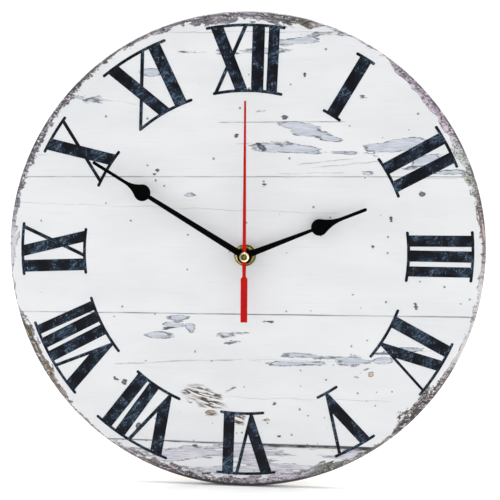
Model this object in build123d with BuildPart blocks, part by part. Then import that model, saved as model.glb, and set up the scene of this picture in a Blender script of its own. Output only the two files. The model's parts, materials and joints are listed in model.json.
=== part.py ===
"""Round wall clock: a printed plank-look board with a quartz movement hung behind it.

Frame: +Z up towards XII, +X to the right seen from the front, the dial faces -Y.
The origin lies on the hand axis, in the plane of the wall that the clock hangs on.
A "station" is a distance from the wall towards the viewer, so y = -station.
"""

from build123d import *
from math import cos, radians, sin, sqrt, tan
import os

os.makedirs("parts", exist_ok=True)

# ---------------------------------------------------------------- driving sizes, mm
DIAL_R = 150.0            # 12 inch clock
BOARD_T = 5.0
EDGE_R = 2.0              # rounded front edge
PRINT_T = 0.2             # printed film, wrapped over the front and the edge
INK_T = 0.1

CASE_W = 56.0             # square movement case
CASE_TOP = 25.0           # above the hand axis
CASE_WALL = 1.2
CASE_DEPTH = 16.0
CASE_CORNER_R = 3.0
REAR_T = 1.2

BUSH_R = 4.0              # M8 threaded nose, 8 mm crest diameter
BORE_R = BUSH_R + 0.3     # hole in the board and in the gasket
WASHER_R = 6.9
WASHER_T = 0.5
NUT_AF = 12.0
NUT_T = 2.0

HOUR_TUBE_R = 2.55
MINUTE_ARBOR_R = 1.6
PIN_R = 0.5               # steel arbors and pivots
SET_STEM_R = 1.2          # stem of the setting knob
SET_TIP_R = 0.8
RUN = 0.05                # radial running clearance, tubes
RUN_PIN = 0.03            # radial running clearance, pivots

HAND_T = 0.5
HOUR_LEN = 80.5
MINUTE_LEN = 110.0
SECOND_LEN = 94.5
HOUR_ANGLE = 67.7         # clockwise from XII, as set at rest
MINUTE_ANGLE = 300.8
SECOND_ANGLE = -0.7

BATTERY_R = 7.25          # AA cell
BATTERY_L = 50.5

# ---------------------------------------------------------------- stations from the wall
S_GASKET = CASE_DEPTH
S_BOARD = S_GASKET + 1.0
S_DIAL = S_BOARD + BOARD_T
S_NUT = S_DIAL + WASHER_T
S_BUSH_END = S_NUT + NUT_T + 1.1
S_FRONT_WALL = CASE_DEPTH - CASE_WALL
S_HOUR_HAND = 28.0
S_MINUTE_HAND = 31.0
S_SECOND_HAND = 34.3
S_BUSH_TOP = 36.2
S_ARBOR_END = 35.4        # steel arbor, just below the floor of the bush's recess

S_PLATE = (10.2, 11.0)    # middle plate
S_STATOR = 5.7
S_CORE = 6.5
LAMINATION = 0.8

# ---------------------------------------------------------------- gear train
M_MOTOR = 0.25            # rotor, intermediate and seconds wheels
M_THIRD = 0.27
M_CENTRE = M_THIRD * (8 + 60) / (8 + 64)
M_MOTION = 0.375
M_HOUR = M_MOTION * (12 + 36) / (10 + 40)

N_ROTOR, N_INTER, N_INTER_PINION, N_SECONDS = 8, 60, 15, 60
N_SECONDS_PINION, N_THIRD, N_THIRD_PINION, N_CENTRE = 8, 60, 8, 64
N_CANNON, N_TRANSFER, N_TRANSFER_PINION, N_HOUR, N_SET = 12, 36, 10, 40, 12


def gear_place(centre, distance, angle):
    """Point at a distance and an angle, counter-clockwise from +X seen from the front."""
    return (centre[0] + distance * cos(radians(angle)), centre[1] + distance * sin(radians(angle)))


MAIN = (0.0, 0.0)
ANG_INTER, ANG_ROTOR, ANG_THIRD, ANG_TRANSFER, ANG_SET = -30.0, 60.0, 120.0, 150.0, 150.0
INTER = gear_place(MAIN, M_MOTOR * (N_INTER_PINION + N_SECONDS) / 2, ANG_INTER)
ROTOR = gear_place(INTER, M_MOTOR * (N_ROTOR + N_INTER) / 2, ANG_ROTOR)
THIRD = gear_place(MAIN, M_THIRD * (N_SECONDS_PINION + N_THIRD) / 2, ANG_THIRD)
TRANSFER = gear_place(MAIN, M_MOTION * (N_CANNON + N_TRANSFER) / 2, ANG_TRANSFER)
SET = gear_place(TRANSFER, M_MOTION * (N_TRANSFER + N_SET) / 2, ANG_SET)


def mating_phase(phase, teeth, other_teeth, angle):
    """Phase in degrees of a gear that meshes with one of the given phase, at that angle."""
    lag = (phase - angle) * teeth / other_teeth
    return angle + 180.0 - lag - 180.0 / other_teeth


PH_SECONDS = 0.0
PH_INTER_PINION = mating_phase(PH_SECONDS, N_SECONDS, N_INTER_PINION, ANG_INTER)
PH_INTER = 0.0
PH_ROTOR = mating_phase(PH_INTER, N_INTER, N_ROTOR, ANG_ROTOR)
PH_SECONDS_PINION = 0.0
PH_THIRD = mating_phase(PH_SECONDS_PINION, N_SECONDS_PINION, N_THIRD, ANG_THIRD)
PH_THIRD_PINION = 0.0
PH_CENTRE = mating_phase(PH_THIRD_PINION, N_THIRD_PINION, N_CENTRE, ANG_THIRD + 180.0)
PH_CANNON = 0.0
PH_TRANSFER = mating_phase(PH_CANNON, N_CANNON, N_TRANSFER, ANG_TRANSFER)
PH_TRANSFER_PINION = 0.0
PH_HOUR = mating_phase(PH_TRANSFER_PINION, N_TRANSFER_PINION, N_HOUR, ANG_TRANSFER + 180.0)
PH_SET = mating_phase(PH_TRANSFER, N_TRANSFER, N_SET, ANG_SET)

TOOTH_SHARE = 0.38        # tooth width at the pitch circle, as a share of the pitch
TIP_SHARE = 0.16
ROOT_SHARE = 0.50
ADDENDUM = 0.85           # modules
DEDENDUM = 1.25


# ---------------------------------------------------------------- helpers
def face_plane(station, centre=MAIN):
    """Sketch plane at a station, seen from the front: local x is +X and local y is +Z."""
    return Plane(origin=(centre[0], -station, centre[1]), x_dir=(1, 0, 0), z_dir=(0, -1, 0))


def hand_plane(station, clockwise):
    """Sketch plane turned clockwise by an angle, so that local y points along the hand."""
    a = radians(clockwise)
    return Plane(origin=(0, -station, 0), x_dir=(cos(a), 0, -sin(a)), z_dir=(0, -1, 0))


def tooth_points(teeth, module, phase):
    """Corner points of a spur gear with straight flanks."""
    pitch = 360.0 / teeth
    r = module * teeth / 2
    corners = ((r - DEDENDUM * module, ROOT_SHARE), (r, TOOTH_SHARE), (r + ADDENDUM * module, TIP_SHARE))
    points = []
    for k in range(teeth):
        mid = phase + k * pitch
        flank = [(radius, mid - share * pitch / 2) for radius, share in corners]
        flank += [(radius, mid + share * pitch / 2) for radius, share in reversed(corners)]
        points += [(radius * cos(radians(a)), radius * sin(radians(a))) for radius, a in flank]
    return points


def gear(centre, station, thickness, teeth, module, phase):
    """Add a toothed disc to the part being built."""
    with BuildSketch(face_plane(station, centre)) as profile:
        Polygon(*tooth_points(teeth, module, phase), align=None)
    extrude(profile.sketch, amount=thickness)


def disc(centre, station, thickness, radius, mode=Mode.ADD):
    """Add or cut a round disc, from a station towards the viewer."""
    with BuildSketch(face_plane(station, centre)) as profile:
        Circle(radius)
    extrude(profile.sketch, amount=thickness, mode=mode)


def block(x, z, s, mode=Mode.ADD):
    """Add or cut a box given by its low and high x, z and station."""
    with BuildSketch(face_plane(s[0], ((x[0] + x[1]) / 2, (z[0] + z[1]) / 2))) as profile:
        Rectangle(x[1] - x[0], z[1] - z[0])
    extrude(profile.sketch, amount=s[1] - s[0], mode=mode)


def around(middle, size):
    """Low and high ends of a length about its middle."""
    return (middle - size / 2, middle + size / 2)


def save(part, name):
    """Label a finished piece and write its file."""
    part.part.label = name
    export_step(part.part, f"parts/{name}.step")


# ---------------------------------------------------------------- board, print and numerals
with BuildPart() as dial_board:
    core_r = DIAL_R - PRINT_T
    with BuildSketch(face_plane(S_BOARD)):
        Circle(core_r)
        Circle(BORE_R, mode=Mode.SUBTRACT)
    extrude(amount=BOARD_T - PRINT_T)
    front_rim = dial_board.faces().sort_by(Axis.Y)[0].edges().sort_by(SortBy.RADIUS)[-1]
    fillet(front_rim, radius=EDGE_R - PRINT_T)
save(dial_board, "dial_board")

with BuildPart() as dial_print:
    with BuildSketch(Plane.YZ):
        with BuildLine():
            # section of the film, in (y, z): bore, front face, rounded edge, side, and back
            front, back = -S_DIAL, -S_BOARD
            inner = DIAL_R - PRINT_T
            Line((front, BORE_R), (front, DIAL_R - EDGE_R))
            RadiusArc((front, DIAL_R - EDGE_R), (front + EDGE_R, DIAL_R), EDGE_R)
            Line((front + EDGE_R, DIAL_R), (back, DIAL_R))
            Line((back, DIAL_R), (back, inner))
            Line((back, inner), (front + EDGE_R, inner))
            RadiusArc((front + EDGE_R, inner), (front + PRINT_T, DIAL_R - EDGE_R), -(EDGE_R - PRINT_T))
            Line((front + PRINT_T, DIAL_R - EDGE_R), (front + PRINT_T, BORE_R))
            Line((front + PRINT_T, BORE_R), (front, BORE_R))
        make_face()
    revolve(axis=Axis.Y)
save(dial_print, "dial_print")

# Each numeral stands in its own frame: u to the right, v outwards from the hand axis.
# stems: (u at the outer end, u at the inner end, width)
# vee: (left edge of the broad stroke, its width, right edge of the fine stroke, its width, u of the point)
# cross: broad (outer u, inner u, width), then fine (outer u, inner u, width)
CAP_R = 142.4             # outer serif, outside radius
BASE_R = 101.0            # inner serif, inside radius
SERIF_T = 1.8
FOOT_W = 0.9              # half width of the point where the strokes of a V meet
NUMERALS = {
    1: dict(stems=[(1.2, 1.2, 7.7)], outer=(-5.8, 7.4), inner=(-5.4, 7.5)),
    2: dict(stems=[(-4.8, -5.0, 7.6), (8.6, 7.5, 7.2)], outer=(-13.4, 15.5), inner=(-13.1, 14.5)),
    3: dict(stems=[(-11.7, -11.1, 7.0), (-1.9, -1.8, 7.0), (7.8, 7.9, 6.4)],
            outer=(-18.1, 14.0), inner=(-17.0, 14.6)),
    4: dict(stems=[(-13.9, -12.4, 7.6)], vee=(-7.4, 7.2, 16.0, 1.7, 3.5),
            outer=(-20.2, 19.2), inner=(-20.6, 14.6)),
    5: dict(stems=[], vee=(-13.3, 7.0, 9.9, 2.2, -2.6), outer=(-16.8, 12.3), inner=(-10.9, 4.3)),
    6: dict(stems=[(8.8, 8.2, 7.1)], vee=(-19.8, 7.2, 4.0, 2.1, -5.8),
            outer=(-22.1, 16.1), inner=(-14.1, 14.2)),
    7: dict(stems=[(9.9, 6.4, 7.2), (20.5, 15.4, 7.7)], vee=(-21.0, 7.9, 3.8, 2.3, -5.6),
            outer=(-25.1, 28.3), inner=(-12.5, 21.0)),
    8: dict(stems=[(3.0, 1.9, 7.1), (12.5, 11.0, 7.0), (21.7, 18.5, 6.0)], vee=(-23.7, 7.9, -2.6, 2.1, -9.0),
            outer=(-25.9, 27.4), inner=(-15.7, 24.0)),
    9: dict(stems=[(-10.0, -8.1, 7.5)], cross=((-0.3, 9.9, 7.1), (15.2, -2.4, 2.4)),
            outer=(-16.0, 17.9), inner=(-14.2, 15.0)),
    10: dict(stems=[], cross=((-4.0, 8.4, 7.8), (13.2, -7.4, 2.3)), outer=(-10.1, 16.1), inner=(-11.0, 15.2)),
    11: dict(stems=[(13.4, 10.7, 7.8)], cross=((-16.1, -0.5, 7.8), (5.8, -19.0, 2.6)),
             outer=(-23.6, 21.4), inner=(-20.0, 18.2)),
    12: dict(stems=[(5.9, 5.5, 7.6), (15.5, 14.4, 6.7)], cross=((-19.9, -4.0, 7.7), (-2.0, -20.0, 2.5)),
             outer=(-26.7, 22.2), inner=(-21.8, 21.2)),
}


def on_ring(u, radius):
    """Point of a ring about the hand axis, above or below a given u."""
    return (u, sqrt(radius * radius - u * u))


def serif(span, radius):
    """Curved serif with round ends, from u to u, its outside on the given radius."""
    inside = radius - SERIF_T
    centre_line = radius - SERIF_T / 2
    low, high = span[0] + SERIF_T / 2, span[1] - SERIF_T / 2
    middle = (low + high) / 2
    with BuildLine() as outline:
        ThreePointArc(on_ring(low, radius), on_ring(middle, radius), on_ring(high, radius))
        ThreePointArc(on_ring(high, radius), on_ring(span[1], centre_line), on_ring(high, inside))
        ThreePointArc(on_ring(high, inside), on_ring(middle, inside), on_ring(low, inside))
        ThreePointArc(on_ring(low, inside), on_ring(span[0], centre_line), on_ring(low, radius))
    make_face(outline.edges())


def stroke(outer_u, inner_u, width):
    """Straight stroke of constant width between the two serifs."""
    top, bottom = CAP_R - SERIF_T / 2, BASE_R + SERIF_T / 2
    half = width / 2
    Polygon(on_ring(outer_u - half, top), on_ring(outer_u + half, top),
            on_ring(inner_u + half, bottom), on_ring(inner_u - half, bottom), align=None)


def vee_stroke(left, broad, right, fine, point):
    """Broad and fine stroke that meet in a point at the inner serif."""
    top, bottom = CAP_R - SERIF_T / 2, BASE_R + SERIF_T / 2
    fall = top - bottom
    left_slope = (point - FOOT_W - left) / fall
    right_slope = (point + FOOT_W - right) / fall
    # the inside edges run parallel to the outside ones and meet at this depth below the top
    depth = ((right - fine) - (left + broad)) / (left_slope - right_slope)
    crotch = (left + broad + left_slope * depth, top - depth)
    Polygon(on_ring(left, top), on_ring(left + broad, top), crotch, on_ring(right - fine, top),
            on_ring(right, top), (point + FOOT_W, bottom), (point - FOOT_W, bottom), align=None)


with BuildPart() as printed_numerals:
    for hour, form in NUMERALS.items():
        with BuildSketch(hand_plane(S_DIAL, 30.0 * hour)):
            serif(form["outer"], CAP_R)
            serif(form["inner"], BASE_R + SERIF_T)
            for stem in form["stems"]:
                stroke(*stem)
            if "vee" in form:
                vee_stroke(*form["vee"])
            for line in form.get("cross", ()):
                stroke(*line)
        extrude(amount=INK_T)
save(printed_numerals, "printed_numerals")

# ---------------------------------------------------------------- clamp: gasket, bushing, washer, nut
GASKET_W = 30.0
GASKET_CORNER_R = 3.0
with BuildPart() as rubber_gasket:
    with BuildSketch(face_plane(S_GASKET)):
        RectangleRounded(GASKET_W, GASKET_W, GASKET_CORNER_R)
        Circle(BORE_R, mode=Mode.SUBTRACT)
    extrude(amount=S_BOARD - S_GASKET)
save(rubber_gasket, "rubber_gasket")

FLANGE_R = 5.3
FLANGE_T = 0.6
NOSE_CHAMFER = 0.35
GROOVE = 0.4              # depth of the groove that shows the thread
GROOVE_HALF = 0.3
with BuildPart() as threaded_bushing:
    disc(MAIN, S_FRONT_WALL, FLANGE_T, FLANGE_R)
    disc(MAIN, S_FRONT_WALL, S_BUSH_END - S_FRONT_WALL, BUSH_R)
    chamfer(threaded_bushing.faces().sort_by(Axis.Y)[0].edges(), length=NOSE_CHAMFER)
    disc(MAIN, S_FRONT_WALL, S_BUSH_END - S_FRONT_WALL, HOUR_TUBE_R + RUN, mode=Mode.SUBTRACT)
    # thread that stands out of the nut, as a ring groove
    groove_s = S_NUT + NUT_T + GROOVE_HALF
    with BuildSketch(Plane.YZ):
        with BuildLine():
            Polyline((-groove_s + GROOVE_HALF, BUSH_R), (-groove_s, BUSH_R - GROOVE),
                     (-groove_s - GROOVE_HALF, BUSH_R), close=True)
        make_face()
    revolve(axis=Axis.Y, mode=Mode.SUBTRACT)
save(threaded_bushing, "threaded_bushing")

WASHER_BORE_R = BUSH_R + 0.1
WASHER_CHAMFER = 0.15
with BuildPart() as brass_washer:
    disc(MAIN, S_DIAL, WASHER_T, WASHER_R)
    disc(MAIN, S_DIAL, WASHER_T, WASHER_BORE_R, mode=Mode.SUBTRACT)
    chamfer(brass_washer.faces().sort_by(Axis.Y)[0].edges().sort_by(SortBy.RADIUS)[-1], length=WASHER_CHAMFER)
save(brass_washer, "brass_washer")

NUT_TURN = 12.0           # how far the tightened nut stands turned, degrees
NUT_FACE_R = 5.7          # flat face inside the turned chamfer
CLEAR = 0.5               # how far a cutting shape runs past the metal
with BuildPart() as hex_nut:
    with BuildSketch(face_plane(S_NUT)):
        RegularPolygon(NUT_AF / 2, 6, major_radius=False, rotation=NUT_TURN)
    extrude(amount=NUT_T)
    # turned chamfer: the corners are cut back by a cone towards the viewer
    cut_r = NUT_AF / 2 / cos(radians(30.0)) + CLEAR
    cut_depth = (cut_r - NUT_FACE_R) * tan(radians(30.0))
    with BuildSketch(Plane.YZ):
        with BuildLine():
            tip = -(S_NUT + NUT_T)
            Polyline((tip, NUT_FACE_R), (tip, cut_r), (tip + cut_depth, cut_r), close=True)
        make_face()
    revolve(axis=Axis.Y, mode=Mode.SUBTRACT)
    disc(MAIN, S_NUT, NUT_T, BUSH_R, mode=Mode.SUBTRACT)
save(hex_nut, "hex_nut")

# ---------------------------------------------------------------- movement case
CASE_Z = (CASE_TOP - CASE_W, CASE_TOP)
CASE_X = (-CASE_W / 2, CASE_W / 2)
CASE_CENTRE = (0.0, (CASE_Z[0] + CASE_Z[1]) / 2)
IN_X = (CASE_X[0] + CASE_WALL, CASE_X[1] - CASE_WALL)
IN_Z = (CASE_Z[0] + CASE_WALL, CASE_Z[1] - CASE_WALL)
BAY_TOP = -14.4           # underside of the wall between the battery and the wheels
DIVIDER_T = 1.0
BATTERY_Z = (IN_Z[0] + BAY_TOP) / 2
BATTERY_S = 7.75
POSTS = [(-22.0, -9.0), (-18.0, 20.0), (20.0, 20.0), (9.0, -11.0)]
POST_R = 2.0
STAKE_R = 1.0
NOTCH_W = 16.0
NOTCH_DEPTH = 5.0
CASE_EDGE_R = 0.8
BAY_WALL = 0.8            # front wall of the battery bay
SLOT_S = (6.5, 10.5)      # slots for the contact strips
SLOT_DEPTH = 0.9
BOARD_POST = 2            # the post that also holds the circuit board
STAKE_END, LONG_STAKE_END = S_PLATE[0] - 0.2, 8.4
PIVOT_DEPTH = 0.7         # blind pivot holes in the front wall

with BuildPart() as case_front:
    with BuildSketch(face_plane(0.0, CASE_CENTRE)):
        RectangleRounded(CASE_W, CASE_W, CASE_CORNER_R)
    extrude(amount=CASE_DEPTH)
    fillet(case_front.faces().sort_by(Axis.Y)[0].edges(), radius=CASE_EDGE_R)
    # wheel chamber and battery bay, both open to the rear
    block(IN_X, (BAY_TOP + DIVIDER_T, IN_Z[1]), (0.0, S_FRONT_WALL), mode=Mode.SUBTRACT)
    block(IN_X, (IN_Z[0], BAY_TOP), (0.0, CASE_DEPTH - BAY_WALL), mode=Mode.SUBTRACT)
    # seat of the rear cover
    block(CASE_X, (BAY_TOP, CASE_TOP), (0.0, REAR_T), mode=Mode.SUBTRACT)
    # nose hole with the seat of the bushing's flange
    disc(MAIN, S_FRONT_WALL, CASE_WALL, BUSH_R, mode=Mode.SUBTRACT)
    disc(MAIN, S_FRONT_WALL, FLANGE_T, FLANGE_R, mode=Mode.SUBTRACT)
    # finger notch in the bay's lower wall
    block(around(0.0, NOTCH_W), (CASE_Z[0], IN_Z[0]), (0.0, NOTCH_DEPTH), mode=Mode.SUBTRACT)
    # slots that lead the two contact strips past the dividing wall
    for side in (-1, 1):
        edge = side * IN_X[1]
        block(sorted((edge - side * SLOT_DEPTH, edge)), (BAY_TOP, BAY_TOP + DIVIDER_T), SLOT_S,
              mode=Mode.SUBTRACT)
    # posts with stakes for the middle plate; the third one also holds the circuit board
    for number, post in enumerate(POSTS):
        stake_end = LONG_STAKE_END if number == BOARD_POST else STAKE_END
        disc(post, S_PLATE[1], S_FRONT_WALL - S_PLATE[1], POST_R)
        disc(post, stake_end, S_PLATE[1] - stake_end, STAKE_R)
    # pivot holes in the front wall
    disc(TRANSFER, S_FRONT_WALL, PIVOT_DEPTH, PIN_R + RUN_PIN, mode=Mode.SUBTRACT)
    disc(SET, S_FRONT_WALL, PIVOT_DEPTH, SET_TIP_R + RUN, mode=Mode.SUBTRACT)
save(case_front, "case_front")

TAB_W = 18.0
TAB_T = 2.0
HANGER_R = 4.5
HANGER_Z = 29.5
SLOT_W = 4.0
SLOT_TOP_Z = 35.5
KNOB_R = 5.6
MARK_X = 22.0
MARK_Z = -10.0
MARK_SIZE = 4.0
MARK_W = 0.9
MARK_DEPTH = 0.3
WINDOW_R = KNOB_R + 0.5
RING_R = (KNOB_R + 2.2, KNOB_R + 3.0)
LIP_GAP = 0.05
LIP_T = 0.9
LIP_S = (REAR_T, REAR_T + 1.2)
BOSS_R = 1.7
BOSS_L = 1.4
S_BLIND = 0.9             # bottom of the blind pivot holes
TAB_CORNER_R = 3.5
with BuildPart() as rear_cover:
    with BuildSketch(face_plane(0.0)):
        with Locations((0.0, (BAY_TOP + CASE_TOP) / 2)):
            Rectangle(CASE_W, CASE_TOP - BAY_TOP)
    extrude(amount=REAR_T)
    top_corners = rear_cover.edges().filter_by(Axis.Y).group_by(Axis.Z)[-1]
    fillet(top_corners, radius=CASE_CORNER_R)
    # locating lip inside the case
    lip_x = (IN_X[0] + LIP_GAP, IN_X[1] - LIP_GAP)
    lip_z = (BAY_TOP + DIVIDER_T + LIP_GAP, IN_Z[1] - LIP_GAP)
    block(lip_x, lip_z, LIP_S)
    block((lip_x[0] + LIP_T, lip_x[1] - LIP_T), (lip_z[0] + LIP_T, lip_z[1] - LIP_T), LIP_S,
          mode=Mode.SUBTRACT)
    # bosses with blind pivot holes
    for pivot in (MAIN, INTER, ROTOR, THIRD):
        disc(pivot, REAR_T, BOSS_L, BOSS_R)
        disc(pivot, S_BLIND, REAR_T + BOSS_L - S_BLIND, PIN_R + RUN_PIN, mode=Mode.SUBTRACT)
    # window for the setting knob
    disc(SET, 0.0, REAR_T, WINDOW_R, mode=Mode.SUBTRACT)
    # sunk ring round the window, and sunk plus and minus signs over the ends of the battery
    with BuildSketch(face_plane(0.0, SET)):
        Circle(RING_R[1])
        Circle(RING_R[0], mode=Mode.SUBTRACT)
    extrude(amount=MARK_DEPTH, mode=Mode.SUBTRACT)
    for side in (-1, 1):
        block(around(side * MARK_X, MARK_SIZE), around(MARK_Z, MARK_W), (0.0, MARK_DEPTH), mode=Mode.SUBTRACT)
    block(around(MARK_X, MARK_W), around(MARK_Z, MARK_SIZE), (0.0, MARK_DEPTH), mode=Mode.SUBTRACT)
    # hanger tab with a keyhole
    tab_top = SLOT_TOP_Z + SLOT_W / 2 + 3.0
    block(around(0.0, TAB_W), (CASE_TOP, tab_top), (0.0, TAB_T))
    fillet(rear_cover.edges().filter_by(Axis.Y).group_by(Axis.Z)[-1], radius=TAB_CORNER_R)
    with BuildSketch(face_plane(0.0)):
        with Locations((0.0, HANGER_Z)):
            Circle(HANGER_R)
        with Locations((0.0, (HANGER_Z + SLOT_TOP_Z) / 2)):
            Rectangle(SLOT_W, SLOT_TOP_Z - HANGER_Z)
        with Locations((0.0, SLOT_TOP_Z)):
            Circle(SLOT_W / 2)
    extrude(amount=TAB_T, mode=Mode.SUBTRACT)
save(rear_cover, "rear_cover")

PLATE_CENTRE = (1.0, 5.0)
PLATE_W, PLATE_H, PLATE_CORNER_R = 50.0, 35.0, 2.0
STAKE_HOLE_R = STAKE_R + 0.05
with BuildPart() as middle_plate:
    with BuildSketch(face_plane(S_PLATE[0])):
        with Locations(PLATE_CENTRE):
            RectangleRounded(PLATE_W, PLATE_H, PLATE_CORNER_R)
        for pivot in (INTER, ROTOR, THIRD, TRANSFER):
            with Locations(pivot):
                Circle(PIN_R + RUN_PIN, mode=Mode.SUBTRACT)
        with Locations(MAIN):
            Circle(MINUTE_ARBOR_R + RUN, mode=Mode.SUBTRACT)
        with Locations(SET):
            Circle(SET_STEM_R + RUN, mode=Mode.SUBTRACT)
        with Locations(*POSTS):
            Circle(STAKE_HOLE_R, mode=Mode.SUBTRACT)
    extrude(amount=S_PLATE[1] - S_PLATE[0])
save(middle_plate, "middle_plate")

# ---------------------------------------------------------------- motor and electronics
BOBBIN_X = 22.4
BOBBIN_S = S_CORE + LAMINATION / 2
CORE_X = (20.9, 23.9)
ARM_LOW_Z = (-12.2, -8.4)
ARM_HIGH_Z = (5.4, 9.2)
SPOOL_Z = (-7.6, 4.6)
SPOOL_FLANGE_T = 0.7
SPOOL_W = 6.4
MAGNET_R = 3.0
STATOR_RING_R = 4.6
ROTOR_GAP = 0.4           # between the magnet and the stator
STATOR_X = (11.5, 16.5)
ARM_X = (16.0, 24.2)
STATOR_NECK_R = 0.8
SPOOL_WALL = 0.5

with BuildPart() as stator:
    disc(ROTOR, S_STATOR, LAMINATION, STATOR_RING_R)
    block(STATOR_X, (ARM_LOW_Z[0], ARM_HIGH_Z[1]), (S_STATOR, S_STATOR + LAMINATION))
    for arm in (ARM_LOW_Z, ARM_HIGH_Z):
        block(ARM_X, arm, (S_STATOR, S_STATOR + LAMINATION))
    disc(ROTOR, S_STATOR, LAMINATION, MAGNET_R + ROTOR_GAP, mode=Mode.SUBTRACT)
    # narrow necks beside the rotor hole
    for side in (-1, 1):
        neck = (ROTOR[0] + side * (STATOR_RING_R + STATOR_NECK_R / 2), ROTOR[1])
        disc(neck, S_STATOR, LAMINATION, STATOR_NECK_R, mode=Mode.SUBTRACT)
save(stator, "stator")

with BuildPart() as coil_core:
    block(CORE_X, (ARM_LOW_Z[0], ARM_HIGH_Z[1]), (S_CORE, S_CORE + LAMINATION))
save(coil_core, "coil_core")

with BuildPart() as coil_bobbin:
    for z in (SPOOL_Z[0], SPOOL_Z[1] - SPOOL_FLANGE_T):
        block(around(BOBBIN_X, SPOOL_W), (z, z + SPOOL_FLANGE_T), around(BOBBIN_S, SPOOL_W))
    block(around(BOBBIN_X, CORE_X[1] - CORE_X[0] + 2 * SPOOL_WALL), SPOOL_Z,
          around(BOBBIN_S, LAMINATION + 2 * SPOOL_WALL))
    block(CORE_X, SPOOL_Z, (S_CORE, S_CORE + LAMINATION), mode=Mode.SUBTRACT)
save(coil_bobbin, "coil_bobbin")

WINDING = (6.0, 5.4, 2.0)  # width, depth and corner radius
with BuildPart() as coil_winding:
    with BuildSketch(Plane.XY.offset(SPOOL_Z[0] + SPOOL_FLANGE_T)):
        with Locations((BOBBIN_X, -BOBBIN_S)):
            RectangleRounded(*WINDING)
            Rectangle(CORE_X[1] - CORE_X[0] + 2 * SPOOL_WALL, LAMINATION + 2 * SPOOL_WALL, mode=Mode.SUBTRACT)
    extrude(amount=SPOOL_Z[1] - SPOOL_Z[0] - 2 * SPOOL_FLANGE_T)
save(coil_winding, "coil_winding")

BOARD_X, BOARD_Z, BOARD_S = (4.0, 26.3), (11.5, 23.3), (8.6, 9.6)
with BuildPart() as circuit_board:
    block(BOARD_X, BOARD_Z, BOARD_S)
    disc(POSTS[BOARD_POST], BOARD_S[0], BOARD_S[1] - BOARD_S[0], STAKE_HOLE_R, mode=Mode.SUBTRACT)
save(circuit_board, "circuit_board")

CHIP_CENTRE = (11.0, 19.0)
CHIP_R, CHIP_T, CHIP_EDGE_R = 2.6, 1.0, 0.7
with BuildPart() as chip_blob:
    disc(CHIP_CENTRE, BOARD_S[0] - CHIP_T, CHIP_T, CHIP_R)
    fillet(chip_blob.faces().sort_by(Axis.Y)[-1].edges(), radius=CHIP_EDGE_R)
save(chip_blob, "chip_blob")

CRYSTAL_START = (15.0, 14.0)  # x and z of the can's root
CRYSTAL_R, CRYSTAL_L, CRYSTAL_EDGE_R = 1.0, 6.0, 0.4
with BuildPart() as quartz_crystal:
    with BuildSketch(Plane.YZ.offset(CRYSTAL_START[0])):
        with Locations((CRYSTAL_R - BOARD_S[0], CRYSTAL_START[1])):
            Circle(CRYSTAL_R)
    extrude(amount=CRYSTAL_L)
    fillet(quartz_crystal.faces().sort_by(Axis.X)[-1].edges(), radius=CRYSTAL_EDGE_R)
save(quartz_crystal, "quartz_crystal")

# ---------------------------------------------------------------- contacts and battery
STRIP_T = 0.3
CONTACT_S = (3.5, 12.0)
TAIL_S = (7.0, 10.0)
POSITIVE_X = 26.3
BATTERY_X = (POSITIVE_X - BATTERY_L, POSITIVE_X)
PAD_Z = around(BATTERY_Z, 12.0)
STRIP_END_X = BOARD_X[0] + 3.0
LEAF_W = 5.0
LEAF_S = 5.0              # station where the leaf begins

with BuildPart() as positive_contact:
    block((POSITIVE_X, POSITIVE_X + STRIP_T), PAD_Z, CONTACT_S)
    block((POSITIVE_X, POSITIVE_X + STRIP_T), (BATTERY_Z, BOARD_Z[1]), TAIL_S)
save(positive_contact, "positive_contact")

with BuildPart() as negative_contact:
    block((-POSITIVE_X - STRIP_T, -POSITIVE_X), PAD_Z, CONTACT_S)
    block((-POSITIVE_X - STRIP_T, -POSITIVE_X), (BATTERY_Z, BOARD_Z[1] + STRIP_T), TAIL_S)
    block((-POSITIVE_X - STRIP_T, STRIP_END_X), (BOARD_Z[1], BOARD_Z[1] + STRIP_T), TAIL_S)
    # bowed leaf that presses on the cell
    foot, crown, end = (-POSITIVE_X, -5.5), (BATTERY_X[0], 0.5), (BATTERY_X[0] - 0.6, 4.0)
    foot_in, crown_in, end_in = (foot[0], -5.1), (crown[0] - STRIP_T, 0.5), (end[0] - STRIP_T, 4.0)
    with BuildSketch(face_plane(LEAF_S, (0.0, BATTERY_Z))):
        with BuildLine():
            Polyline(foot, crown, end, end_in, crown_in, foot_in, close=True)
        make_face()
    extrude(amount=LEAF_W)
save(negative_contact, "negative_contact")

SLEEVE_T = 0.15
NUB_R = 2.75
NUB_L = 1.2
CAN_EDGE = 0.4
SLEEVE_SHORT = 0.6        # bare metal at each end of the sleeve
CELL_CENTRE = (-BATTERY_S, BATTERY_Z)
with BuildPart() as battery_cell:
    with BuildSketch(Plane.YZ.offset(BATTERY_X[0])):
        with Locations(CELL_CENTRE):
            Circle(BATTERY_R - SLEEVE_T)
    extrude(amount=BATTERY_L - NUB_L)
    chamfer(battery_cell.edges().filter_by(GeomType.CIRCLE), length=CAN_EDGE)
    with BuildSketch(Plane.YZ.offset(BATTERY_X[1] - NUB_L)):
        with Locations(CELL_CENTRE):
            Circle(NUB_R)
    extrude(amount=NUB_L)
    fillet(battery_cell.faces().sort_by(Axis.X)[-1].edges(), radius=CAN_EDGE)
save(battery_cell, "battery_cell")

with BuildPart() as battery_sleeve:
    with BuildSketch(Plane.YZ.offset(BATTERY_X[0] + SLEEVE_SHORT)):
        with Locations(CELL_CENTRE):
            Circle(BATTERY_R)
            Circle(BATTERY_R - SLEEVE_T, mode=Mode.SUBTRACT)
    extrude(amount=BATTERY_L - NUB_L - 2 * SLEEVE_SHORT)
save(battery_sleeve, "battery_sleeve")

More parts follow.
